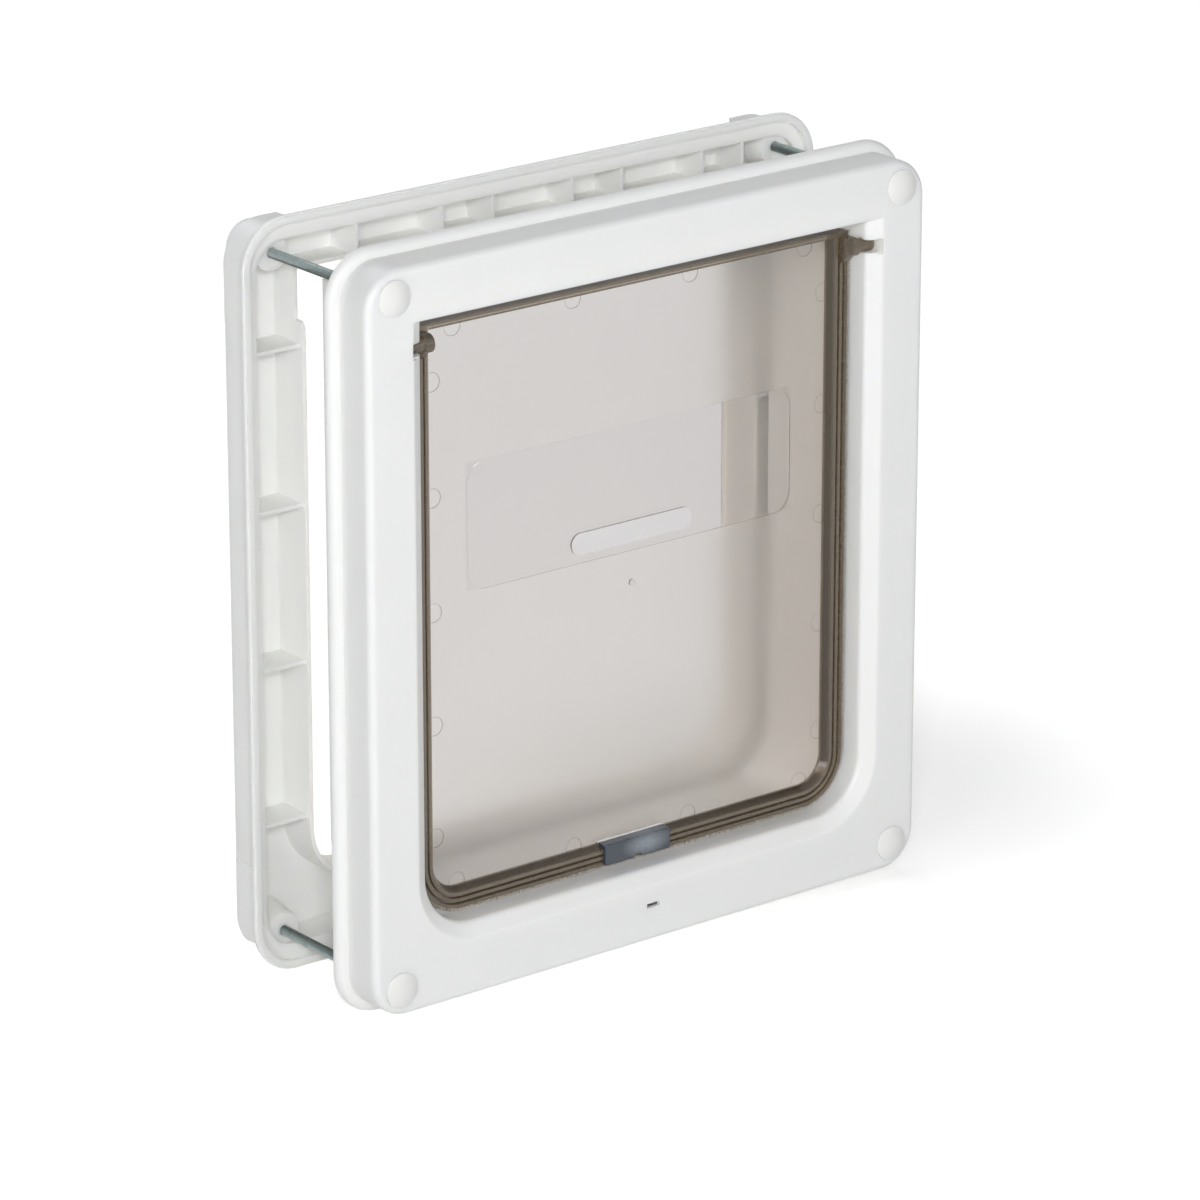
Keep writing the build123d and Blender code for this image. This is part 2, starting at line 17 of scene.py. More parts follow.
import bpy
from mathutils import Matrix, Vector

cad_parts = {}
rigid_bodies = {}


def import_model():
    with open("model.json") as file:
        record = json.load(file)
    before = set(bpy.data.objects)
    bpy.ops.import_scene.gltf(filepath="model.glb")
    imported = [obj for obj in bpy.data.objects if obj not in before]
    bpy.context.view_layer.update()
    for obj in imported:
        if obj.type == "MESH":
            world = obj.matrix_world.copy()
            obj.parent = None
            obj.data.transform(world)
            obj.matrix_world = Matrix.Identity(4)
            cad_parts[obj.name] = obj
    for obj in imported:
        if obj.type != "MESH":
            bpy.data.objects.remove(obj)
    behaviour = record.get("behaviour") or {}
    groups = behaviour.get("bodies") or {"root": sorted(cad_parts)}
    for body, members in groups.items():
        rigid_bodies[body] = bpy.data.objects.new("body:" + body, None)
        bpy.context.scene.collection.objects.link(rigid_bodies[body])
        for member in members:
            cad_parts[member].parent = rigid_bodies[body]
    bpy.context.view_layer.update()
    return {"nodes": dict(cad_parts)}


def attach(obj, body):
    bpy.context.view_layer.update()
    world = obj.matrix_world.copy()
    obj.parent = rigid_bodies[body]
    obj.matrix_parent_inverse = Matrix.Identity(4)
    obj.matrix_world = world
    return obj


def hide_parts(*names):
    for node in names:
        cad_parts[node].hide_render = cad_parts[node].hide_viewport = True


LOG = logging.getLogger("pet_door")
MM = 0.001

Pair = tuple[float, float]
Triple = tuple[float, float, float]
Face = tuple[int, ...]


def linear(hex_code: str) -> tuple[float, float, float, float]:
    """Turns an sRGB hex colour into linear light.

    Args:
        hex_code: Six hex digits after a hash sign.

    Returns:
        Linear red, green and blue with full alpha.
    """
    parts = [int(hex_code[i : i + 2], 16) / 255 for i in (1, 3, 5)]
    light = [p / 12.92 if p <= 0.04045 else ((p + 0.055) / 1.055) ** 2.4 for p in parts]
    return (light[0], light[1], light[2], 1.0)


def add_node(tree: bpy.types.NodeTree, kind: str, **settings: object) -> bpy.types.Node:
    """Adds a node with its settings and links.

    Args:
        tree: The tree that takes the node.
        kind: Blender's name for the node's type.
        **settings: Attributes of the node by name. The key ``inputs`` holds a dict from socket
            name or number to a value, or to an output socket, which is linked.

    Returns:
        The new node.
    """
    node = tree.nodes.new(kind)
    inputs = settings.pop("inputs", {})
    for key, value in settings.items():
        setattr(node, key, value)
    for key, value in inputs.items():
        if isinstance(value, bpy.types.NodeSocket):
            tree.links.new(value, node.inputs[key])
        else:
            node.inputs[key].default_value = value
    return node


def new_material(name: str) -> tuple[bpy.types.Material, bpy.types.NodeTree]:
    """Makes an empty node material.

    Args:
        name: The material's name.

    Returns:
        The material and its node tree.
    """
    material = bpy.data.materials.new(name)
    material.use_nodes = True
    material.node_tree.nodes.clear()
    return material, material.node_tree


def add_mesh(
    name: str, points: Sequence[Sequence[float]], faces: Sequence[Face]
) -> bpy.types.Object:
    """Makes a mesh object and puts it in the scene.

    Args:
        name: The name of the object and of its mesh.
        points: The mesh's points, in metres.
        faces: The faces, as the numbers of their points.

    Returns:
        The new object.
    """
    mesh = bpy.data.meshes.new(name)
    mesh.from_pydata(points, [], faces)
    mesh.validate()
    obj = bpy.data.objects.new(name, mesh)
    bpy.context.scene.collection.objects.link(obj)
    return obj


def dress(obj: bpy.types.Object, material: bpy.types.Material) -> None:
    """Gives every slot of an object one material."""
    obj.data.materials.clear()
    obj.data.materials.append(material)


class Slot(Enum):
    """The record's material slots."""

    FRAME = "frame_plastic"
    CAP = "cap_plastic"
    SCREW = "screw_steel"
    FLAP = "flap_plastic"
    PILE = "pile"
    CATCH = "catch_plastic"
    CLIP = "clip_plastic"
    MAGNET = "magnet"


@dataclass(frozen=True)
class MouldedAbs:
    """ABS, injection moulded in a spark-eroded mould.

    The eye sees an almost even colour with a soft, wide highlight, light that carries a little
    way through the thin walls, and close to, a fine pebble from the mould.
    """

    name: str = "ABS_white_moulded_satin"
    colour: str = "#FAFAF6"
    flow_colour: str = "#F7F7F2"
    roughness: float = 0.42
    gloss_spread: float = 0.06
    ior: float = 1.53
    specular: float = 0.45
    glow_share: float = 0.65
    glow_mm: float = 4.5
    glow_radius: Triple = (1.0, 0.95, 0.85)
    # The real pebble is about 0.1 mm, too fine to show, so it is drawn coarser
    grain_mm: float = 0.9
    grain_bump: float = 0.05
    grain_depth_mm: float = 0.1
    flow_mm: float = 90.0

    def material(self) -> bpy.types.Material:
        """Builds the finish: flow marks in the colour, pebble in the bump and roughness.

        Returns:
            The new material.
        """
        material, tree = new_material(self.name)
        place = add_node(tree, "ShaderNodeTexCoord")
        grain = add_node(
            tree,
            "ShaderNodeTexNoise",
            inputs={
                "Vector": place.outputs["Object"],
                "Scale": 1 / (self.grain_mm * MM),
                "Detail": 2.0,
            },
        )
        flow = add_node(
            tree,
            "ShaderNodeTexNoise",
            inputs={
                "Vector": place.outputs["Object"],
                "Scale": 1 / (self.flow_mm * MM),
                "Detail": 3.0,
            },
        )
        colour = add_node(
            tree,
            "ShaderNodeMix",
            data_type="RGBA",
            inputs={
                "Factor": flow.outputs["Fac"],
                "A": linear(self.colour),
                "B": linear(self.flow_colour),
            },
        )
        gloss = add_node(
            tree,
            "ShaderNodeMapRange",
            inputs={
                "Value": grain.outputs["Fac"],
                "To Min": self.roughness - self.gloss_spread,
                "To Max": self.roughness + self.gloss_spread,
            },
        )
        bump = add_node(
            tree,
            "ShaderNodeBump",
            inputs={
                "Height": grain.outputs["Fac"],
                "Strength": self.grain_bump,
                "Distance": self.grain_depth_mm * MM,
            },
        )
        shader = add_node(
            tree,
            "ShaderNodeBsdfPrincipled",
            inputs={
                "Base Color": colour.outputs["Result"],
                "Roughness": gloss.outputs["Result"],
                "IOR": self.ior,
                "Specular IOR Level": self.specular,
                "Subsurface Weight": self.glow_share,
                "Subsurface Radius": self.glow_radius,
                "Subsurface Scale": self.glow_mm * MM,
                "Normal": bump.outputs["Normal"],
            },
        )
        add_node(tree, "ShaderNodeOutputMaterial", inputs={"Surface": shader.outputs["BSDF"]})
        return material


@dataclass(frozen=True)
class SmokePolycarbonate:
    """Smoke-tinted polycarbonate, injection moulded with a polished window in a hazed pane.

    The eye sees what is behind it a third darker, clear in the window and soft elsewhere, milky on
    the lozenge, where the mould was blasted, and a deep brown where the moulding is thick or seen
    along its edge. The rim's crests carry a painted highlight, paler than the brown, and the thin
    round edges where the ejector pins stood are painted shade.
    """

    name: str = "polycarbonate_smoke_moulded"
    tint: str = "#AFAAAA"
    density: float = 195.0
    pane_colour: str = "#F4F2F0"
    window_colour: str = "#E9E7E6"
    rim_colour: str = "#7A6A55"
    # The crest colour is a painted highlight: the rim turns paler towards its frontmost ridges
    crest_highlight_colour: str = "#A79984"
    crest_highlight_y: Pair = (-39.8 * MM, -41.0 * MM)
    rim_clearness: float = 0.75
    lamp_tint: str = "#F8F0E3"
    pane_half_width: float = 116.4 * MM
    pane_low: float = 53.1 * MM
    pane_high: float = 323.3 * MM
    pane_corner: float = 13.8 * MM
    pane_middle_y: float = -36.0 * MM
    pane_reach: float = 2.7 * MM
    window_roughness: float = 0.01
    haze_roughness: float = 0.21
    rim_roughness: float = 0.15
    ior: float = 1.49
    # The real haze is finer than 0.1 mm, too fine to show, so it is drawn coarser
    haze_mm: float = 1.2
    haze_bump: float = 0.02
    haze_depth_mm: float = 0.05
    window_middle: Triple = (0.0, -36.0 * MM, 224.5 * MM)
    window_reach: Triple = (95.0 * MM, 6.0 * MM, 30.5 * MM)
    lozenge_middle: Triple = (0.0, -40.8 * MM, 203.5 * MM)
    lozenge_reach: Triple = (36.0 * MM, 3.0 * MM, 5.6 * MM)
    lozenge_colour: str = "#EFEDEC"
    lozenge_roughness: float = 0.5
    lozenge_clearness: float = 0.3
    # The pin colour is painted shade: a darker ring where the ejector rounds' steps meet the pane
    pin_edge_shade_colour: str = "#C2BEBB"
    pin_radius: float = 4.5 * MM
    # The real edge is a step of 0.15 mm; its shade is painted as a darker line, drawn wider to show
    pin_line: float = 0.4 * MM
    pin_face: Pair = (-37.5 * MM, 0.3 * MM)
    pin_side: float = 114.4 * MM
    pin_side_first: float = 79.1 * MM
    pin_side_pitch: float = 54.525 * MM
    pin_end_middle: float = 188.15 * MM
    pin_end_reach: float = 133.05 * MM
    pin_end_first: float = 34.2 * MM
    pin_end_pitch: float = 68.4 * MM

    @staticmethod
    def in_box(
        tree: bpy.types.NodeTree,
        place: bpy.types.NodeSocket,
        middle: Triple,
        reach: Triple,
    ) -> bpy.types.NodeSocket:
        """Adds a mask that is one inside an upright box.

        Args:
            tree: The material's tree.
            place: The socket with the place on the object.
            middle: The box's middle.
            reach: Half the box's size each way.

        Returns:
            The mask's socket.
        """
        off = add_node(
            tree, "ShaderNodeVectorMath", operation="SUBTRACT", inputs={0: place, 1: middle}
        )
        share = add_node(
            tree, "ShaderNodeVectorMath", operation="DIVIDE", inputs={0: off.outputs[0], 1: reach}
        )
        size = add_node(
            tree, "ShaderNodeVectorMath", operation="ABSOLUTE", inputs={0: share.outputs[0]}
        )
        axes = add_node(tree, "ShaderNodeSeparateXYZ", inputs={0: size.outputs[0]})
        flat = add_node(
            tree,
            "ShaderNodeMath",
            operation="MAXIMUM",
            inputs={0: axes.outputs["X"], 1: axes.outputs["Z"]},
        )
        most = add_node(
            tree,
            "ShaderNodeMath",
            operation="MAXIMUM",
            inputs={0: flat.outputs[0], 1: axes.outputs["Y"]},
        )
        mask = add_node(
            tree, "ShaderNodeMath", operation="LESS_THAN", inputs={0: most.outputs[0], 1: 1.0}
        )
        return mask.outputs[0]

    def pin_row(
        self,
        tree: bpy.types.NodeTree,
        across: bpy.types.NodeSocket,
        along: bpy.types.NodeSocket,
        row: Triple,
    ) -> bpy.types.NodeSocket:
        """Adds a mask that is one on the thin edges of a row of ejector rounds, where painted shade
        goes.

        Args:
            tree: The material's tree.
            across: The socket with the place across the row.
            along: The socket with the place along the row.
            row: The row's place across, its first round along and its pitch.

        Returns:
            The mask's socket.
        """
        off = add_node(tree, "ShaderNodeMath", operation="SUBTRACT", inputs={0: across, 1: row[0]})
        start = add_node(tree, "ShaderNodeMath", operation="SUBTRACT", inputs={0: along, 1: row[1]})
        near = add_node(
            tree,
            "ShaderNodeMath",
            operation="PINGPONG",
            inputs={0: start.outputs[0], 1: row[2] / 2},
        )
        flat = add_node(
            tree, "ShaderNodeCombineXYZ", inputs={0: off.outputs[0], 1: near.outputs[0]}
        )
        reach = add_node(
            tree, "ShaderNodeVectorMath", operation="LENGTH", inputs={0: flat.outputs[0]}
        )
        ring = add_node(
            tree,
            "ShaderNodeMath",
            operation="COMPARE",
            inputs={0: reach.outputs["Value"], 1: self.pin_radius, 2: self.pin_line / 2},
        )
        return ring.outputs[0]

    def pin_edge_shade(
        self, tree: bpy.types.NodeTree, axes: bpy.types.Node, across: bpy.types.NodeSocket
    ) -> bpy.types.NodeSocket:
        """Adds a mask of all the ejector rounds' edges on the pane's front, where painted shade
        goes.

        Args:
            tree: The material's tree.
            axes: The node that parts the place into X, Y and Z.
            across: The socket with the distance from the middle across.

        Returns:
            The mask's socket.
        """
        rise = add_node(
            tree,
            "ShaderNodeMath",
            operation="SUBTRACT",
            inputs={0: axes.outputs["Z"], 1: self.pin_end_middle},
        )
        from_middle = add_node(
            tree, "ShaderNodeMath", operation="ABSOLUTE", inputs={0: rise.outputs[0]}
        )
        sides = (self.pin_side, self.pin_side_first, self.pin_side_pitch)
        ends = (self.pin_end_reach, self.pin_end_first, self.pin_end_pitch)
        both = add_node(
            tree,
            "ShaderNodeMath",
            operation="MAXIMUM",
            inputs={
                0: self.pin_row(tree, across, axes.outputs["Z"], sides),
                1: self.pin_row(tree, from_middle.outputs[0], across, ends),
            },
        )
        front = add_node(
            tree,
            "ShaderNodeMath",
            operation="COMPARE",
            inputs={0: axes.outputs["Y"], 1: self.pin_face[0], 2: self.pin_face[1]},
        )
        marks = add_node(
            tree,
            "ShaderNodeMath",
            operation="MULTIPLY",
            inputs={0: both.outputs[0], 1: front.outputs[0]},
        )
        return marks.outputs[0]

    def rim_mask(
        self, tree: bpy.types.NodeTree, axes: bpy.types.Node, across: bpy.types.NodeSocket
    ) -> bpy.types.NodeSocket:
        """Adds a mask that is one on the rim, the rail and all that stands proud of the pane.

        Args:
            tree: The material's tree.
            axes: The node that parts the place into X, Y and Z.
            across: The socket with the distance from the middle across.

        Returns:
            The mask's socket.
        """
        past_side = add_node(
            tree,
            "ShaderNodeMath",
            operation="SUBTRACT",
            inputs={0: across, 1: self.pane_half_width - self.pane_corner},
        )
        past_low = add_node(
            tree,
            "ShaderNodeMath",
            operation="SUBTRACT",
            inputs={0: self.pane_low + self.pane_corner, 1: axes.outputs["Z"]},
        )
        corner = add_node(
            tree, "ShaderNodeCombineXYZ", inputs={0: past_side.outputs[0], 1: past_low.outputs[0]}
        )
        clipped = add_node(
            tree,
            "ShaderNodeVectorMath",
            operation="MAXIMUM",
            inputs={0: corner.outputs[0], 1: (0.0, 0.0, 0.0)},
        )
        reach = add_node(
            tree, "ShaderNodeVectorMath", operation="LENGTH", inputs={0: clipped.outputs[0]}
        )
        past_rim = add_node(
            tree,
            "ShaderNodeMath",
            operation="GREATER_THAN",
            inputs={0: reach.outputs["Value"], 1: self.pane_corner},
        )
        past_rail = add_node(
            tree,
            "ShaderNodeMath",
            operation="GREATER_THAN",
            inputs={0: axes.outputs["Z"], 1: self.pane_high},
        )
        edge = add_node(
            tree,
            "ShaderNodeMath",
            operation="MAXIMUM",
            inputs={0: past_rim.outputs[0], 1: past_rail.outputs[0]},
        )
        level = add_node(
            tree,
            "ShaderNodeMath",
            operation="COMPARE",
            inputs={0: axes.outputs["Y"], 1: self.pane_middle_y, 2: self.pane_reach},
        )
        proud = add_node(
            tree, "ShaderNodeMath", operation="SUBTRACT", inputs={0: 1.0, 1: level.outputs[0]}
        )
        rim = add_node(
            tree,
            "ShaderNodeMath",
            operation="MAXIMUM",
            inputs={0: edge.outputs[0], 1: proud.outputs[0]},
        )
        return rim.outputs[0]

    def material(self) -> bpy.types.Material:
        """Builds the finish: clear window, hazed pane, brown rim with a painted highlight on its
        crests, painted shade on the ejector rounds' edges and a tint that grows with depth.

        One material dresses the whole flap, because the tint fills its solid.

        Returns:
            The new material.
        """
        material, tree = new_material(self.name)
        place = add_node(tree, "ShaderNodeTexCoord")
        axes = add_node(tree, "ShaderNodeSeparateXYZ", inputs={0: place.outputs["Object"]})
        across = add_node(
            tree, "ShaderNodeMath", operation="ABSOLUTE", inputs={0: axes.outputs["X"]}
        )
        window = self.in_box(tree, place.outputs["Object"], self.window_middle, self.window_reach)
        lozenge = self.in_box(
            tree, place.outputs["Object"], self.lozenge_middle, self.lozenge_reach
        )
        rim = self.rim_mask(tree, axes, across.outputs[0])
        pane_gloss = add_node(
            tree,
            "ShaderNodeMapRange",
            inputs={
                "Value": window,
                "To Min": self.haze_roughness,
                "To Max": self.window_roughness,
            },
        )
        face_gloss = add_node(
            tree,
            "ShaderNodeMapRange",
            inputs={
                "Value": lozenge,
                "To Min": pane_gloss.outputs["Result"],
                "To Max": self.lozenge_roughness,
            },
        )
        gloss = add_node(
            tree,
            "ShaderNodeMapRange",
            inputs={
                "Value": rim,
                "To Min": face_gloss.outputs["Result"],
                "To Max": self.rim_roughness,
            },
        )
        face_clearness = add_node(
            tree,
            "ShaderNodeMapRange",
            inputs={"Value": lozenge, "To Min": 1.0, "To Max": self.lozenge_clearness},
        )
        clearness = add_node(
            tree,
            "ShaderNodeMapRange",
            inputs={
                "Value": rim,
                "To Min": face_clearness.outputs["Result"],
                "To Max": self.rim_clearness,
            },
        )
        haze = add_node(
            tree,
            "ShaderNodeTexNoise",
            inputs={
                "Vector": place.outputs["Object"],
                "Scale": 1 / (self.haze_mm * MM),
                "Detail": 2.0,
            },
        )
        bump = add_node(
            tree,
            "ShaderNodeBump",
            inputs={
                "Height": haze.outputs["Fac"],
                "Strength": self.haze_bump,
                "Distance": self.haze_depth_mm * MM,
            },
        )
        pane_colour = add_node(
            tree,
            "ShaderNodeMix",
            data_type="RGBA",
            inputs={
                "Factor": window,
                "A": linear(self.pane_colour),
                "B": linear(self.window_colour),
            },
        )
        face_colour = add_node(
            tree,
            "ShaderNodeMix",
            data_type="RGBA",
            inputs={
                "Factor": lozenge,
                "A": pane_colour.outputs["Result"],
                "B": linear(self.lozenge_colour),
            },
        )
        # Painted shade: the colour turns darker on the ejector rounds' edges
        pin_shaded_colour = add_node(
            tree,
            "ShaderNodeMix",
            data_type="RGBA",
            inputs={
                "Factor": self.pin_edge_shade(tree, axes, across.outputs[0]),
                "A": face_colour.outputs["Result"],
                "B": linear(self.pin_edge_shade_colour),
            },
        )
        # Painted highlight: the rim's colour turns paler towards its frontmost crests
        crest_highlight = add_node(
            tree,
            "ShaderNodeMapRange",
            inputs={
                "Value": axes.outputs["Y"],
                "From Min": self.crest_highlight_y[0],
                "From Max": self.crest_highlight_y[1],
            },
        )
        rim_with_highlight_colour = add_node(
            tree,
            "ShaderNodeMix",
            data_type="RGBA",
            inputs={
                "Factor": crest_highlight.outputs["Result"],
                "A": linear(self.rim_colour),
                "B": linear(self.crest_highlight_colour),
            },
        )
        colour = add_node(
            tree,
            "ShaderNodeMix",
            data_type="RGBA",
            inputs={
                "Factor": rim,
                "A": pin_shaded_colour.outputs["Result"],
                "B": rim_with_highlight_colour.outputs["Result"],
            },
        )
        shader = add_node(
            tree,
            "ShaderNodeBsdfPrincipled",
            inputs={
                "Base Color": colour.outputs["Result"],
                "Roughness": gloss.outputs["Result"],
                "IOR": self.ior,
                "Transmission Weight": clearness.outputs["Result"],
                "Normal": bump.outputs["Normal"],
            },
        )
        path = add_node(tree, "ShaderNodeLightPath")
        let_through = add_node(
            tree, "ShaderNodeBsdfTransparent", inputs={"Color": linear(self.lamp_tint)}
        )
        both = add_node(
            tree,
            "ShaderNodeMixShader",
            inputs={
                0: path.outputs["Is Shadow Ray"],
                1: shader.outputs["BSDF"],
                2: let_through.outputs["BSDF"],
            },
        )
        smoke = add_node(
            tree,
            "ShaderNodeVolumeAbsorption",
            inputs={"Color": linear(self.tint), "Density": self.density},
        )
        add_node(
            tree,
            "ShaderNodeOutputMaterial",
            inputs={"Surface": both.outputs["Shader"], "Volume": smoke.outputs["Volume"]},
        )
        return material


@dataclass(frozen=True)
class ZincPlatedSteel:
    """Steel screw, rolled thread, bright zinc plated and passivated.

    The eye sees a cool silver with bright crests and a faint blue bloom.
    """

    name: str = "steel_bright_zinc_plated"
    colour: str = "#A6B0AE"
    bloom_colour: str = "#758180"
    roughness: float = 0.2
    gloss_change: Pair = (-0.08, 0.1)
    bloom_mm: float = 4.0

    def material(self) -> bpy.types.Material:
        """Builds the finish: plated metal with a patchy passivation bloom.

        Returns:
            The new material.
        """
        material, tree = new_material(self.name)
        place = add_node(tree, "ShaderNodeTexCoord")
        bloom = add_node(
            tree,
            "ShaderNodeTexNoise",
            inputs={
                "Vector": place.outputs["Object"],
                "Scale": 1 / (self.bloom_mm * MM),
                "Detail": 4.0,
            },
        )
        colour = add_node(
            tree,
            "ShaderNodeMix",
            data_type="RGBA",
            inputs={
                "Factor": bloom.outputs["Fac"],
                "A": linear(self.colour),
                "B": linear(self.bloom_colour),
            },
        )
        gloss = add_node(
            tree,
            "ShaderNodeMapRange",
            inputs={
                "Value": bloom.outputs["Fac"],
                "To Min": self.roughness + self.gloss_change[0],
                "To Max": self.roughness + self.gloss_change[1],
            },
        )
        shader = add_node(
            tree,
            "ShaderNodeBsdfPrincipled",
            inputs={
                "Base Color": colour.outputs["Result"],
                "Metallic": 1.0,
                "Roughness": gloss.outputs["Result"],
            },
        )
        add_node(tree, "ShaderNodeOutputMaterial", inputs={"Surface": shader.outputs["BSDF"]})
        return material


@dataclass(frozen=True)
class WovenPile:
    """Polypropylene pile, woven on a ribbon and cut.

    The eye sees a grey-brown fuzz, speckled light and dark by the fibre ends.
    """

    name: str = "polypropylene_pile_woven_cut"
    dark: str = "#4A423A"
    light: str = "#BDB3A3"
    roughness: float = 0.9
    sheen: float = 0.3
    sheen_roughness: float = 0.4
    # The real fibre ends are about 0.1 mm, too fine to show, so they are drawn coarser
    speckle_mm: float = 1.1
    speckle_range: Pair = (0.35, 0.65)

    def material(self) -> bpy.types.Material:
        """Builds the finish: speckled fibres with a soft sheen.

        Returns:
            The new material.
        """
        material, tree = new_material(self.name)
        place = add_node(tree, "ShaderNodeTexCoord")
        speckle = add_node(
            tree,
            "ShaderNodeTexNoise",
            inputs={
                "Vector": place.outputs["Object"],
                "Scale": 1 / (self.speckle_mm * MM),
                "Detail": 2.0,
            },
        )
        spread = add_node(
            tree,
            "ShaderNodeMapRange",
            inputs={
                "Value": speckle.outputs["Fac"],
                "From Min": self.speckle_range[0],
                "From Max": self.speckle_range[1],
            },
        )
        colour = add_node(
            tree,
            "ShaderNodeMix",
            data_type="RGBA",
            inputs={
                "Factor": spread.outputs["Result"],
                "A": linear(self.dark),
                "B": linear(self.light),
            },
        )
        shader = add_node(
            tree,
            "ShaderNodeBsdfPrincipled",
            inputs={
                "Base Color": colour.outputs["Result"],
                "Roughness": self.roughness,
                "Sheen Weight": self.sheen,
                "Sheen Roughness": self.sheen_roughness,
            },
        )
        add_node(tree, "ShaderNodeOutputMaterial", inputs={"Surface": shader.outputs["BSDF"]})
        return material


@dataclass(frozen=True)
class SmokeBlueStyrene:
    """Blue-grey tinted polystyrene, moulded with a polished face.

    The eye sees a dark, half clear block with bright edges. A pale mottled cloud near the middle of
    its colour is painted light, standing in for light that shows through the block.
    """

    name: str = "polystyrene_blue_smoke_moulded"
    tint: str = "#8D99A8"
    density: float = 900.0
    dark: str = "#424C58"
    # The light colour is painted light: the pale patch near the block's middle
    light: str = "#A6B0BA"
    roughness: float = 0.08
    gloss_change: Pair = (-0.04, 0.06)
    ior: float = 1.55
    clearness: float = 0.25
    cloud_mm: float = 1.4
    lit_patch_peak: Pair = (0.5, 1.0)
    lit_patch_middle: Triple = (5.0 * MM, 0.0, 49.4 * MM)
    lit_patch_reach: Triple = (15.0 * MM, 1.0, 6.5 * MM)
    lit_patch_fade: Pair = (1.0, 0.2)

    def material(self) -> bpy.types.Material:
        """Builds the finish: half clear body with a pale mottled patch of painted light in its
        colour.

        Returns:
            The new material.
        """
        material, tree = new_material(self.name)
        place = add_node(tree, "ShaderNodeTexCoord")
        cloud = add_node(
            tree,
            "ShaderNodeTexNoise",
            inputs={
                "Vector": place.outputs["Object"],
                "Scale": 1 / (self.cloud_mm * MM),
                "Detail": 3.0,
            },
        )
        from_middle = add_node(
            tree,
            "ShaderNodeVectorMath",
            operation="SUBTRACT",
            inputs={0: place.outputs["Object"], 1: self.lit_patch_middle},
        )
        in_reach = add_node(
            tree,
            "ShaderNodeVectorMath",
            operation="DIVIDE",
            inputs={0: from_middle.outputs[0], 1: self.lit_patch_reach},
        )
        off_lit_patch = add_node(
            tree, "ShaderNodeVectorMath", operation="LENGTH", inputs={0: in_reach.outputs[0]}
        )
        lit_mottle = add_node(
            tree,
            "ShaderNodeMapRange",
            inputs={
                "Value": cloud.outputs["Fac"],
                "To Min": self.lit_patch_peak[0],
                "To Max": self.lit_patch_peak[1],
            },
        )
        # Painted light: the colour turns pale, in a mottle, towards the patch near the middle
        lit_patch = add_node(
            tree,
            "ShaderNodeMapRange",
            inputs={
                "Value": off_lit_patch.outputs["Value"],
                "From Min": self.lit_patch_fade[0],
                "From Max": self.lit_patch_fade[1],
                "To Max": lit_mottle.outputs["Result"],
            },
        )
        colour = add_node(
            tree,
            "ShaderNodeMix",
            data_type="RGBA",
            inputs={
                "Factor": lit_patch.outputs["Result"],
                "A": linear(self.dark),
                "B": linear(self.light),
            },
        )
        gloss = add_node(
            tree,
            "ShaderNodeMapRange",
            inputs={
                "Value": cloud.outputs["Fac"],
                "To Min": self.roughness + self.gloss_change[0],
                "To Max": self.roughness + self.gloss_change[1],
            },
        )
        shader = add_node(
            tree,
            "ShaderNodeBsdfPrincipled",
            inputs={
                "Base Color": colour.outputs["Result"],
                "Roughness": gloss.outputs["Result"],
                "IOR": self.ior,
                "Transmission Weight": self.clearness,
            },
        )
        smoke = add_node(
            tree,
            "ShaderNodeVolumeAbsorption",
            inputs={"Color": linear(self.tint), "Density": self.density},
        )
        add_node(
            tree,
            "ShaderNodeOutputMaterial",
            inputs={"Surface": shader.outputs["BSDF"], "Volume": smoke.outputs["Volume"]},
        )
        return material


@dataclass(frozen=True)
class SinteredFerrite:
    """Ferrite magnet, pressed, sintered and ground.

    The eye sees a dull dark grey with a fine sparkle of grit.
    """

    name: str = "ferrite_sintered_ground"
    dark: str = "#26272A"
    light: str = "#3D3E42"
    roughness: float = 0.62
    # The real grit is about 0.05 mm, too fine to show, so it is drawn coarser
    grit_mm: float = 0.5
    grit_bump: float = 0.2
    grit_depth_mm: float = 0.1

    def material(self) -> bpy.types.Material:
        """Builds the finish: gritty dark grey.

        Returns:
            The new material.
        """
        material, tree = new_material(self.name)
        place = add_node(tree, "ShaderNodeTexCoord")
        grit = add_node(
            tree,
            "ShaderNodeTexNoise",
            inputs={
                "Vector": place.outputs["Object"],
                "Scale": 1 / (self.grit_mm * MM),
                "Detail": 3.0,
            },
        )
        colour = add_node(
            tree,
            "ShaderNodeMix",
            data_type="RGBA",
            inputs={"Factor": grit.outputs["Fac"], "A": linear(self.dark), "B": linear(self.light)},
        )
        bump = add_node(
            tree,
            "ShaderNodeBump",
            inputs={
                "Height": grit.outputs["Fac"],
                "Strength": self.grit_bump,
                "Distance": self.grit_depth_mm * MM,
            },
        )
        shader = add_node(
            tree,
            "ShaderNodeBsdfPrincipled",
            inputs={
                "Base Color": colour.outputs["Result"],
                "Roughness": self.roughness,
                "Normal": bump.outputs["Normal"],
            },
        )
        add_node(tree, "ShaderNodeOutputMaterial", inputs={"Surface": shader.outputs["BSDF"]})
        return material


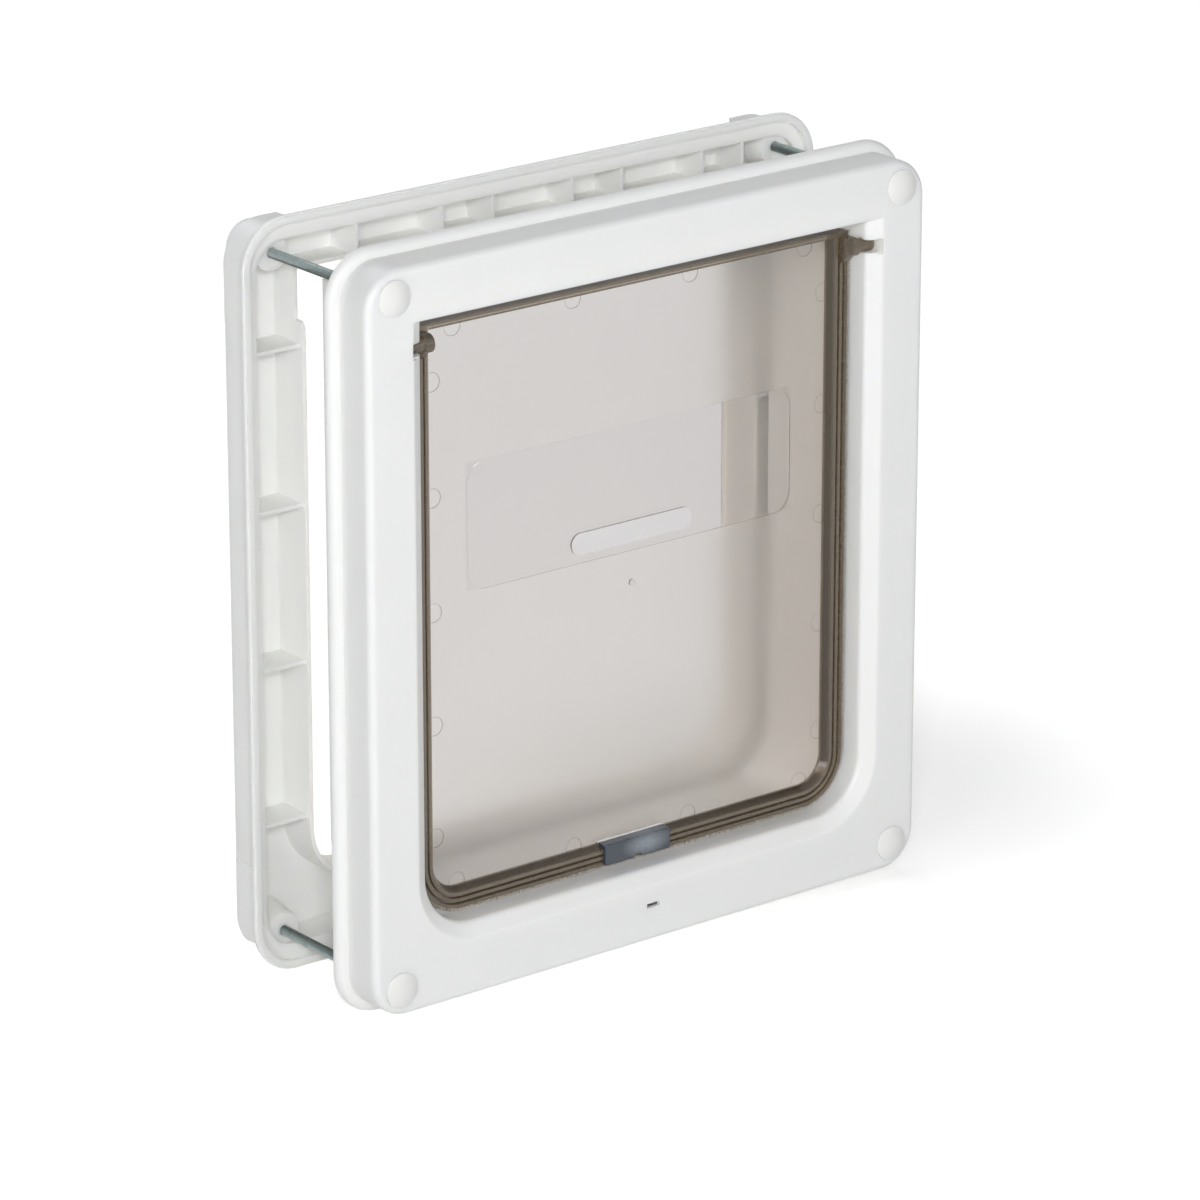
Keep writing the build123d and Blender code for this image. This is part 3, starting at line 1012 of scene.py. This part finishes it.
@dataclass
class FrameMouldings:
    """The two white frames, the screw caps and the sill clip, which keep their CAD meshes.

    The clip is painted dark grey, as the shade in the slot where it sits.
    """

    nodes: dict[str, bpy.types.Object]
    finish: MouldedAbs = field(default_factory=MouldedAbs)
    cap_finish: MouldedAbs = MouldedAbs(
        name="ABS_white_moulded_cap", colour="#F1F1ED", flow_colour="#EEEEEA", glow_share=0.0
    )
    # The clip's dark grey is painted shade, standing in for the shadow in its slot
    clip_shade_finish: MouldedAbs = MouldedAbs(
        name="ABS_clip_painted_shade", colour="#3A3634", flow_colour="#322F2D", glow_share=0.0
    )

    def dress(self) -> None:
        """Gives every moulding of the frames its finish."""
        frame_white = self.finish.material()
        cap_white = self.cap_finish.material()
        clip_painted_shade = self.clip_shade_finish.material()
        for name, obj in self.nodes.items():
            if name.endswith("_frame"):
                dress(obj, frame_white)
            elif name.startswith("screw_cap"):
                dress(obj, cap_white)
            # The clip takes the painted shade of its slot
            elif name == "sill_magnet_clip":
                dress(obj, clip_painted_shade)
            else:
                continue
            LOG.info("dressed %s", name)


@dataclass
class Flap:
    """The swinging flap with its catch housing, which keep their CAD meshes."""

    nodes: dict[str, bpy.types.Object]
    pane_finish: SmokePolycarbonate = field(default_factory=SmokePolycarbonate)
    catch_finish: SmokeBlueStyrene = field(default_factory=SmokeBlueStyrene)

    def dress(self) -> None:
        """Gives the flap and the catch housing their finishes."""
        dress(self.nodes["flap"], self.pane_finish.material())
        dress(self.nodes["catch_housing"], self.catch_finish.material())
        LOG.info("dressed flap and catch housing")


@dataclass
class Magnets:
    """The two bar magnets, which keep their CAD meshes."""

    nodes: dict[str, bpy.types.Object]
    finish: SinteredFerrite = field(default_factory=SinteredFerrite)

    def dress(self) -> None:
        """Gives both magnets their finish."""
        dark = self.finish.material()
        for name in ("catch_magnet", "sill_magnet"):
            dress(self.nodes[name], dark)
        LOG.info("dressed magnets")


@dataclass
class Screws:
    """Four clamping screws with pan heads, a round drive recess and a rolled thread."""

    centre_x: float = 147.0 * MM
    centre_z: Pair = (346.0 * MM, 18.0 * MM)
    head_seat_y: float = -45.5 * MM
    end_y: float = 49.5 * MM
    head_radius: float = 4.6 * MM
    head_height: float = 3.4 * MM
    dome_share: float = 0.62
    dome_degrees: tuple[int, ...] = (24, 40, 55, 68, 80, 90)
    recess: tuple[Pair, ...] = ((0.5 * MM, 1.6 * MM), (1.5 * MM, 0.15 * MM))
    edge_round: float = 0.2 * MM
    shank_relief: float = 0.1 * MM
    plain_shank: float = 6.0 * MM
    run_in: float = 0.6 * MM
    thread_radius: float = 2.4 * MM
    thread_depth: float = 0.42 * MM
    thread_pitch: float = 0.8 * MM
    thread_gap: float = 0.3 * MM
    crest_share: Pair = (0.3, 0.45)
    root_share: Pair = (0.0, 0.75)
    fade_turns: int = 2
    run_out: float = 1.4 * MM
    tip_chamfer: float = 0.7 * MM
    steps_per_turn: int = 20
    finish: ZincPlatedSteel = field(default_factory=ZincPlatedSteel)

    def ring(self, x: float, y: float, z: float, radius: float) -> list[Triple]:
        """Points of a circle round a screw's axis.

        Args:
            x: The axis across.
            y: The place along the screw.
            z: The axis's height.
            radius: The circle's radius.

        Returns:
            One point for each step of a turn.
        """
        turn = 2 * math.pi / self.steps_per_turn
        steps = range(self.steps_per_turn)
        return [
            (x + radius * math.cos(turn * i), y, z + radius * math.sin(turn * i)) for i in steps
        ]

    def head_profile(self) -> list[Pair]:
        """Works out the head's outline, from the drive recess over the pan head to the seat.

        Returns:
            Pairs of a radius and a place along the screw.
        """
        top = self.head_seat_y - self.head_height
        rise = self.head_height * self.dome_share
        angles = [math.radians(degrees) for degrees in self.dome_degrees]
        outline = [(radius, top + depth) for radius, depth in self.recess]
        outline += [
            (self.head_radius * math.sin(a), top + rise * (1 - math.cos(a))) for a in angles
        ]
        outline.append((self.head_radius, self.head_seat_y - self.edge_round))
        outline.append((self.head_radius - self.edge_round, self.head_seat_y))
        outline.append((self.thread_radius - self.shank_relief, self.head_seat_y))
        return outline

    def thread(self, x: float, z: float, start: float, core: float) -> list[Triple]:
        """Points of the thread, ring by ring.

        Each ring rises one pitch in a turn, crest and root in turn, and the first and last turns
        fade into the core.

        Args:
            x: The axis across.
            z: The axis's height.
            start: Where the thread starts along the screw.
            core: The radius at the thread's root.

        Returns:
            The points of all the rings.
        """
        points: list[Triple] = []
        count = self.steps_per_turn
        turns = int((self.end_y - start - self.run_out) / self.thread_pitch)
        crests = [(share, self.thread_radius) for share in self.crest_share]
        shape = [(self.root_share[0], core), *crests, (self.root_share[1], core)]
        for number in range(turns):
            fade = min(1.0, number / self.fade_turns, (turns - 1 - number) / self.fade_turns)
            for share, radius in shape:
                base = start + self.thread_gap + (number + share) * self.thread_pitch
                reach = core + (radius - core) * fade
                for i in range(count):
                    angle = 2 * math.pi * i / count
                    y = base + self.thread_pitch * i / count * fade
                    points.append((x + reach * math.cos(angle), y, z + reach * math.sin(angle)))
        return points

    def one_screw(self, x: float, z: float) -> tuple[list[Triple], list[Face]]:
        """Points and faces of one screw.

        Args:
            x: The axis across.
            z: The axis's height.

        Returns:
            The points and the faces that index them.
        """
        points: list[Triple] = []
        faces: list[Face] = []
        count = self.steps_per_turn
        core = self.thread_radius - self.thread_depth
        start = self.head_seat_y + self.plain_shank
        for radius, y in self.head_profile():
            points += self.ring(x, y, z, radius)
        points += self.ring(x, start - self.run_in, z, self.thread_radius - self.shank_relief)
        points += self.ring(x, start, z, core)
        points += self.thread(x, z, start, core)
        points += self.ring(x, self.end_y - self.tip_chamfer, z, core)
        points += self.ring(x, self.end_y, z, core - self.tip_chamfer)
        last = len(points) - count
        for low in range(0, last, count):
            high = low + count
            for i in range(count):
                j = (i + 1) % count
                faces.append((low + i, low + j, high + j, high + i))
        faces.append(tuple(range(count)))
        faces.append(tuple(reversed(range(last, len(points)))))
        return points, faces

    def build(self) -> bpy.types.Object:
        """Builds all four screws as one piece in the CAD node's place.

        Returns:
            The new object.
        """
        points: list[Triple] = []
        faces: list[Face] = []
        for x in (-self.centre_x, self.centre_x):
            for z in self.centre_z:
                new_points, new_faces = self.one_screw(x, z)
                faces += [tuple(i + len(points) for i in face) for face in new_faces]
                points += new_points
        obj = add_mesh("clamping_screws", points, faces)
        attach(obj, "frame")
        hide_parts("frame_screws")
        dress(obj, self.finish.material())
        LOG.info("built %s, %d faces", obj.name, len(obj.data.polygons))
        return obj


@dataclass
class PileSeal:
    """Pile strip round the flap's sides and sill: a woven ribbon with cut fibres."""

    half_width: float = 126.1 * MM
    sill: float = 43.4 * MM
    top: float = 325.5 * MM
    corner: float = 23.6 * MM
    front_y: float = -40.5 * MM
    back_y: float = -35.5 * MM
    height: float = 2.8 * MM
    ribbon: float = 0.5 * MM
    # Real fibres are thinner and closer, too fine to show, so fewer and thicker ones stand here
    fibre_step: float = 0.55 * MM
    fibre_rows: int = 8
    fibre_radius: float = 0.16 * MM
    fibre_sides: int = 3
    height_share: Pair = (0.82, 0.995)
    root_scatter_mm: float = 0.25
    lean: float = 0.35 * MM
    seed: int = 7
    finish: WovenPile = field(default_factory=WovenPile)

    def path(self) -> list[tuple[Vector, Vector]]:
        """Points down the left side, round the sill and up the right side.

        Returns:
            Pairs of a point on the flap's rim and the way outwards from it.
        """
        places: list[tuple[Vector, Vector]] = []
        low = self.sill + self.corner
        half = self.half_width - self.corner
        straight = int((self.top - low) / self.fibre_step)
        arc = int(self.corner * math.pi / 2 / self.fibre_step)
        flat = int(2 * half / self.fibre_step)
        for i in range(straight):
            z = self.top - self.fibre_step * (i + 0.5)
            places.append((Vector((-self.half_width, 0, z)), Vector((-1, 0, 0))))
        for i in range(arc):
            a = math.pi + math.pi / 2 * (i + 0.5) / arc
            out = Vector((math.cos(a), 0, math.sin(a)))
            places.append((Vector((-half, 0, low)) + out * self.corner, out))
        for i in range(flat):
            x = -half + self.fibre_step * (i + 0.5)
            places.append((Vector((x, 0, self.sill)), Vector((0, 0, -1))))
        for i in range(arc):
            a = -math.pi / 2 + math.pi / 2 * (i + 0.5) / arc
            out = Vector((math.cos(a), 0, math.sin(a)))
            places.append((Vector((half, 0, low)) + out * self.corner, out))
        for i in range(straight):
            z = low + self.fibre_step * (i + 0.5)
            places.append((Vector((self.half_width, 0, z)), Vector((1, 0, 0))))
        return places

    def build(self) -> bpy.types.Object:
        """Builds the ribbon and its fibres in the CAD node's place.

        Returns:
            The new object.
        """
        rng = random.Random(self.seed)
        points: list[Vector] = []
        faces: list[Face] = []
        places = self.path()
        for number, (spot, out) in enumerate(places):
            for y, reach in (
                (self.front_y, 0), (self.back_y, 0), (self.back_y, 1), (self.front_y, 1)
            ):
                points.append(spot + out * (self.ribbon * reach) + Vector((0, y, 0)))
            if number:
                a, b = 4 * (number - 1), 4 * number
                for i in range(4):
                    j = (i + 1) % 4
                    faces.append((a + i, a + j, b + j, b + i))
        faces.append((3, 2, 1, 0))
        last = 4 * (len(places) - 1)
        faces.append((last, last + 1, last + 2, last + 3))
        depth = self.back_y - self.front_y
        for spot, out in places:
            along = Vector((out.z, 0, -out.x))
            for row in range(self.fibre_rows):
                y = self.front_y + depth * (row + 0.5) / self.fibre_rows
                scatter = rng.uniform(-self.root_scatter_mm, self.root_scatter_mm)
                root = spot + Vector((0, y, 0)) + along * scatter * MM
                reach = self.height * rng.uniform(*self.height_share)
                sway = along * rng.uniform(-1, 1) * self.lean
                fore = rng.uniform(-1, 1) * min(self.lean, y - self.front_y, self.back_y - y)
                tip = root + out * reach + sway + Vector((0, fore, 0))
                start = len(points)
                for k in range(self.fibre_sides):
                    angle = 2 * math.pi * k / self.fibre_sides
                    side = along * math.cos(angle) + Vector((0, math.sin(angle), 0))
                    points.append(root + side * self.fibre_radius)
                points.append(tip)
                for k in range(self.fibre_sides):
                    after = (k + 1) % self.fibre_sides
                    faces.append((start + k, start + after, start + self.fibre_sides))
        obj = add_mesh("pile_strip", points, faces)
        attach(obj, "flap")
        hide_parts("flap_pile")
        dress(obj, self.finish.material())
        LOG.info("built %s, %d faces", obj.name, len(obj.data.polygons))
        return obj


@dataclass(frozen=True)
class SoftBox:
    """A square lamp: place and side in metres, power in watts and the point that it looks at."""

    name: str
    place: Triple
    size: float
    power: float
    target: Triple = (0.0, 0.0, 0.18)


@dataclass
class Studio:
    """White sweep, soft lamps and the camera at the photograph's angle."""

    camera_at: Triple = (-1.68753, -2.14383, 1.11570)
    camera_yaw: float = 38.392
    camera_pitch: float = 19.317
    lens_mm: float = 185.33
    sensor_mm: float = 36.0
    sight_end: float = 50.0
    floor_size: float = 14.0
    floor_colour: str = "#F2F2F0"
    # The floor's glow is lower round a spot right of the object: painted shade round its shadow,
    # white further out
    floor_glow_and_shade_dip: Pair = (0.38, 0.66)
    shade_dip_middle: Triple = (0.2, 0.05, 0.0)
    shade_dip_reach: Pair = (0.05, 0.23)
    world_light: float = 0.1
    daylight: Triple = (0.97, 0.98, 1.0)
    lamps: tuple[SoftBox, ...] = (
        SoftBox("key_soft_box", (-1.75, -2.3, 1.3), 0.5, 46.0),
        SoftBox("side_soft_box", (-2.5, -1.45, 0.85), 0.9, 14.0),
        SoftBox("fill_soft_box", (1.1, -2.7, 0.9), 1.0, 12.0),
        SoftBox("top_soft_box", (0.5, 0.6, 2.9), 1.6, 9.0, (0.5, 0.7, 0.0)),
        SoftBox("rear_soft_box", (0.2, 2.7, 1.9), 1.4, 21.0),
    )

    @staticmethod
    def backdrop_rays(tree: bpy.types.NodeTree) -> bpy.types.NodeSocket:
        """Adds a mask that is one for rays that look at the backdrop, straight or through gloss.

        Args:
            tree: The tree of the world or of the floor's material.

        Returns:
            The mask's socket, one for camera, glossy and transmission rays.
        """
        path = add_node(tree, "ShaderNodeLightPath")
        seen = add_node(
            tree,
            "ShaderNodeMath",
            operation="MAXIMUM",
            inputs={0: path.outputs["Is Camera Ray"], 1: path.outputs["Is Glossy Ray"]},
        )
        both = add_node(
            tree,
            "ShaderNodeMath",
            operation="MAXIMUM",
            inputs={0: seen.outputs[0], 1: path.outputs["Is Transmission Ray"]},
        )
        return both.outputs[0]

    def build_world(self) -> None:
        """White surroundings, plain in strength for the light they give."""
        world = bpy.data.worlds.new("studio_white")
        world.use_nodes = True
        tree = world.node_tree
        tree.nodes.clear()
        strength = add_node(
            tree,
            "ShaderNodeMapRange",
            inputs={"Value": self.backdrop_rays(tree), "To Min": self.world_light, "To Max": 1.0},
        )
        light = add_node(
            tree,
            "ShaderNodeBackground",
            inputs={"Color": (*self.daylight, 1.0), "Strength": strength.outputs["Result"]},
        )
        add_node(tree, "ShaderNodeOutputWorld", inputs={"Surface": light.outputs["Background"]})
        bpy.context.scene.world = world

    def build_floor(self) -> None:
        """A pale floor that keeps the object's shadow, darkened round it by painted shade, and
        whitens away from it.
        """
        half = self.floor_size / 2
        corners = [(-half, -half, 0), (half, -half, 0), (half, half, 0), (-half, half, 0)]
        floor = add_mesh("studio_floor", corners, [(0, 1, 2, 3)])
        material, tree = new_material("floor_paper_white")
        paper = add_node(tree, "ShaderNodeBsdfDiffuse", inputs={"Color": linear(self.floor_colour)})
        place = add_node(tree, "ShaderNodeTexCoord")
        away = add_node(
            tree,
            "ShaderNodeVectorMath",
            operation="DISTANCE",
            inputs={0: place.outputs["Object"], 1: self.shade_dip_middle},
        )
        # Painted shade: the glow dips round the shadow's spot and rises to white further out
        spread = add_node(
            tree,
            "ShaderNodeMapRange",
            interpolation_type="SMOOTHSTEP",
            inputs={
                "Value": away.outputs["Value"],
                "From Min": self.shade_dip_reach[0],
                "From Max": self.shade_dip_reach[1],
                "To Min": self.floor_glow_and_shade_dip[0],
                "To Max": self.floor_glow_and_shade_dip[1],
            },
        )
        strength = add_node(
            tree,
            "ShaderNodeMath",
            operation="MULTIPLY",
            inputs={0: self.backdrop_rays(tree), 1: spread.outputs["Result"]},
        )
        glow = add_node(tree, "ShaderNodeEmission", inputs={"Strength": strength.outputs[0]})
        total = add_node(
            tree,
            "ShaderNodeAddShader",
            inputs={0: paper.outputs["BSDF"], 1: glow.outputs["Emission"]},
        )
        add_node(tree, "ShaderNodeOutputMaterial", inputs={"Surface": total.outputs["Shader"]})
        dress(floor, material)

    def add_lamp(self, box: SoftBox) -> None:
        """Adds a lamp to the scene.

        Args:
            box: The lamp's name, place, size, power and target.
        """
        data = bpy.data.lights.new(box.name, "AREA")
        data.shape = "SQUARE"
        data.size = box.size
        data.energy = box.power
        data.color = self.daylight
        lamp = bpy.data.objects.new(box.name, data)
        lamp.location = box.place
        aim = Vector(box.target) - Vector(box.place)
        lamp.rotation_euler = aim.to_track_quat("-Z", "Y").to_euler()
        bpy.context.scene.collection.objects.link(lamp)

    def build_camera(self) -> None:
        """The camera, level from side to side, with no shift and no blur."""
        data = bpy.data.cameras.new("photo_camera")
        data.lens = self.lens_mm
        data.sensor_width = self.sensor_mm
        data.clip_end = self.sight_end
        camera = bpy.data.objects.new("photo_camera", data)
        camera.location = self.camera_at
        tilt = math.radians(90 - self.camera_pitch)
        camera.rotation_euler = (tilt, 0, -math.radians(self.camera_yaw))
        bpy.context.scene.collection.objects.link(camera)
        bpy.context.scene.camera = camera

    def build(self) -> None:
        """Sets up world, floor, lamps, camera and the plain view transform."""
        self.build_world()
        self.build_floor()
        for box in self.lamps:
            self.add_lamp(box)
        self.build_camera()
        bpy.context.scene.view_settings.view_transform = "Standard"
        LOG.info("built studio")


def main() -> None:
    """Loads the frame, builds each piece in order and sets the studio."""
    logging.basicConfig(level=logging.INFO, format="%(name)s: %(message)s")
    for obj in list(bpy.context.scene.objects):
        bpy.data.objects.remove(obj)
    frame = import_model()
    nodes = frame["nodes"]
    FrameMouldings(nodes).dress()
    Flap(nodes).dress()
    Magnets(nodes).dress()
    Screws().build()
    PileSeal().build()
    Studio().build()


if __name__ == "__main__":
    main()
